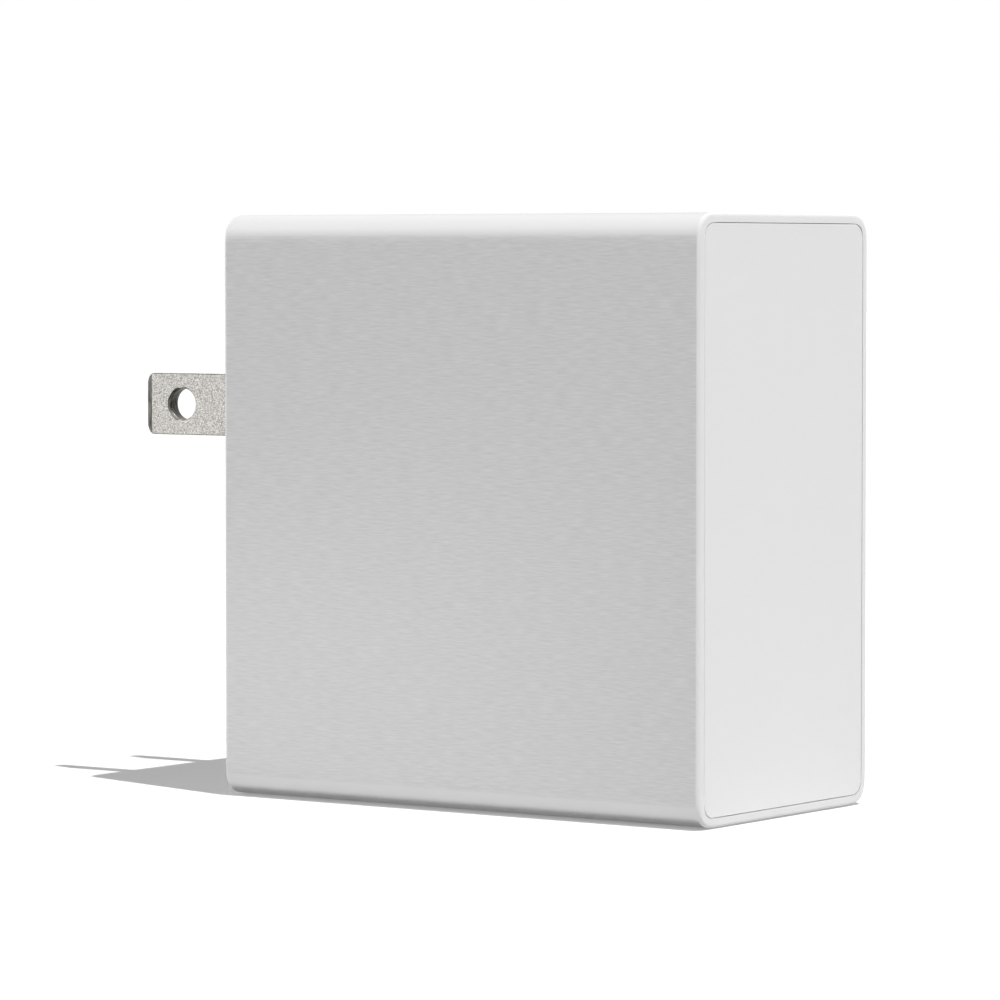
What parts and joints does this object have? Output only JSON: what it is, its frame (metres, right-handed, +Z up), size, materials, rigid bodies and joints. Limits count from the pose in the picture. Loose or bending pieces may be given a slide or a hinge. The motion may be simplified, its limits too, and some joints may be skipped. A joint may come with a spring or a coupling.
{
  "type": "usb-c power adapter",
  "caption": "Wall power adapter: a brushed aluminium sleeve with a flush white end cap, flat mains blades at the rear and a USB-C outlet underneath.",
  "frame": {"origin": "centre of the outlet's slot in the underside, on the plane that the adapter stands on", "axes": "+Z up, +X towards the end cap, so the blades point along -X; Y across the case's thickness"},
  "size_m": [0.0739, 0.0308, 0.0585],
  "materials": {
    "brushed_aluminium": "brushed lengthways and anodised clear",
    "white_polycarbonate": "fine moulded satin",
    "nickel_plated_brass": "nickel plated",
    "spring_brass": "stamped",
    "glass_fibre_board": "solder resist",
    "nickel_plated_steel": "drawn and plated",
    "black_nylon": "moulded",
    "gold_plated_terminals": "gold plated",
    "ferrite": "sintered",
    "phenolic": "moulded",
    "enamelled_copper": "enamelled",
    "polyester_tape": "smooth film",
    "tinned_steel": "tinned",
    "capacitor_film": "shrunk film",
    "capacitor_can": "drawn can",
    "yellow_resin_box": "moulded",
    "black_epoxy": "moulded",
    "green_coating": "dipped",
    "blue_coating": "dipped",
    "plain_aluminium": "mill finish",
    "zinc_plated_steel": "zinc plated",
    "silicone_pad": "soft",
    "polypropylene_sheet": "film"
  },
  "bodies": {
    "root": {"sleeve": "brushed_aluminium", "inner_case": "white_polycarbonate", "end_cap": "white_polycarbonate", "line_blade": "nickel_plated_brass", "neutral_blade": "nickel_plated_brass", "line_contact": "spring_brass", "neutral_contact": "spring_brass", "main_board": "glass_fibre_board", "outlet_board": "glass_fibre_board", "outlet_shell": "nickel_plated_steel", "outlet_insert": "black_nylon", "outlet_terminals": "gold_plated_terminals", "core_lower": "ferrite", "core_upper": "ferrite", "choke_core": "ferrite", "bobbin": "phenolic", "choke_base": "phenolic", "winding": "enamelled_copper", "choke_winding_a": "enamelled_copper", "choke_winding_b": "enamelled_copper", "winding_tape": "polyester_tape", "transformer_pins": "tinned_steel", "bulk_capacitor_a": "capacitor_film", "bulk_capacitor_b": "capacitor_film", "output_capacitor_a": "capacitor_can", "output_capacitor_b": "capacitor_can", "film_capacitor": "yellow_resin_box", "fuse": "black_epoxy", "bridge_rectifier": "black_epoxy", "primary_transistor": "black_epoxy", "controller_chip": "black_epoxy", "optocoupler": "black_epoxy", "rectifier_transistor": "black_epoxy", "power_manager": "black_epoxy", "thermistor": "green_coating", "safety_capacitor": "blue_coating", "heat_sink": "plain_aluminium", "heat_spreader": "plain_aluminium", "transistor_screw": "zinc_plated_steel", "thermal_pad": "silicone_pad", "insulation_sheet": "polypropylene_sheet"}
  },
  "joints": []
}
